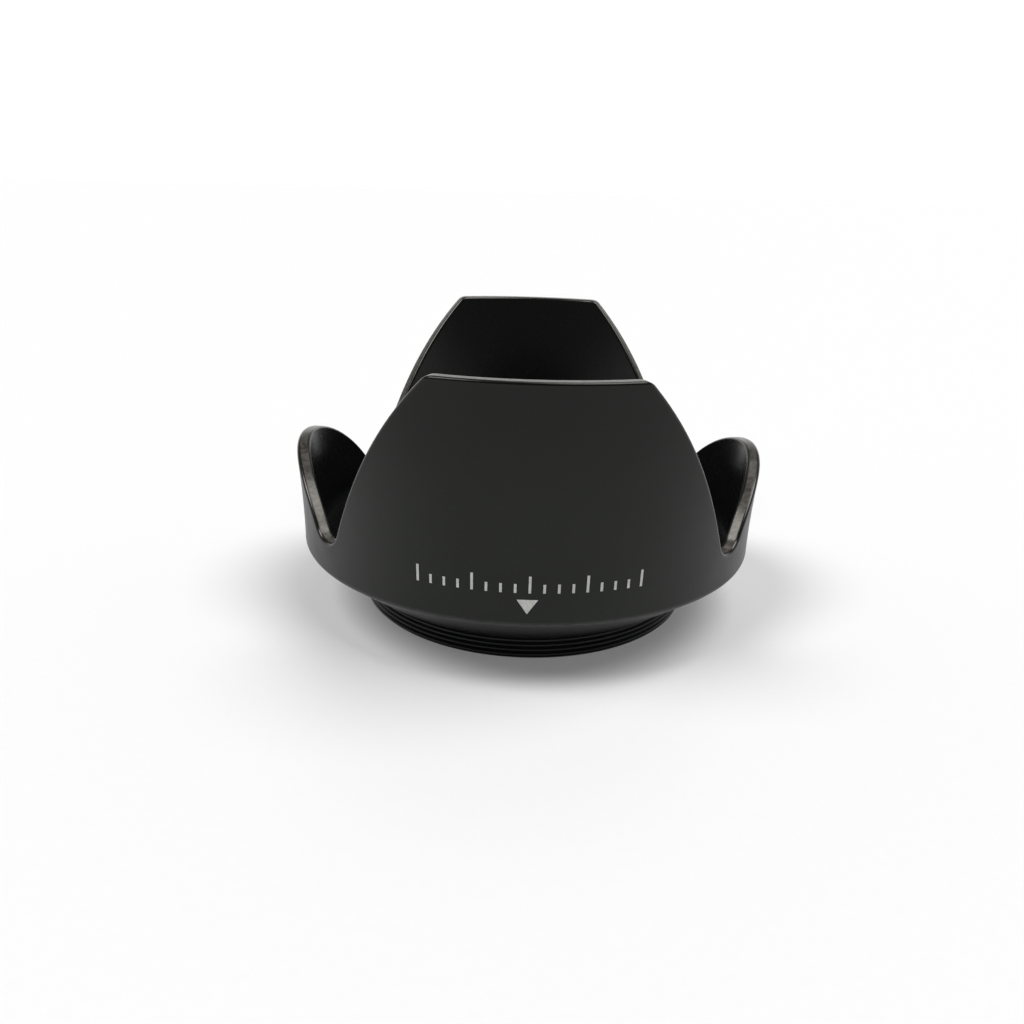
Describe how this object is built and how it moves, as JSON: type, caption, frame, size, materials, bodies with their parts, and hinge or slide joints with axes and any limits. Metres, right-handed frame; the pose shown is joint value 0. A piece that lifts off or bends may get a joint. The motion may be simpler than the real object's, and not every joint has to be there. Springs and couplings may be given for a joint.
{
  "type": "screw-in petal lens hood",
  "caption": "Round screw-in petal lens hood: threaded ring, turning petal shell, clamp nut and washer, with an index mark on the front.",
  "frame": {"origin": "centre of the threaded ring's lower face, on the optical axis", "axes": "+Z is the optical axis from the lens towards the subject; -Y is the side of the long petal that carries the index mark; +X is to the right seen from there"},
  "size_m": [0.0722, 0.0782, 0.0427],
  "materials": {
    "ring_black": "black anodised, satin",
    "shell_black": "fine moulded matte outside, satin inside",
    "washer_black": "smooth nylon",
    "nut_black": "black anodised, satin",
    "print_grey": "pad-printed light grey"
  },
  "bodies": {
    "ring": {"mount_ring": "ring_black"},
    "shell": {"hood_shell": "shell_black", "index_mark": "print_grey", "alignment_scale": "print_grey"},
    "washer": {"friction_washer": "washer_black"},
    "nut": {"clamp_nut": "nut_black"}
  },
  "joints": [
    {"name": "shell_turn", "type": "hinge", "parent": "ring", "child": "shell", "pos_m": [0, 0, 0], "axis": [0, 0, 1], "continuous": true},
    {"name": "washer_lift", "type": "slide", "parent": "ring", "child": "washer", "axis": [0, 0, 1], "range_m": [0, 0.00076]},
    {"name": "nut_turn", "type": "hinge", "parent": "washer", "child": "nut", "pos_m": [0, 0, 0], "axis": [0, 0, 1], "range_deg": [0, 360]}
  ],
  "couplings": [
    {"joint": "washer_lift", "follows": "nut_turn", "m_per_rad": 0.00011937}
  ]
}
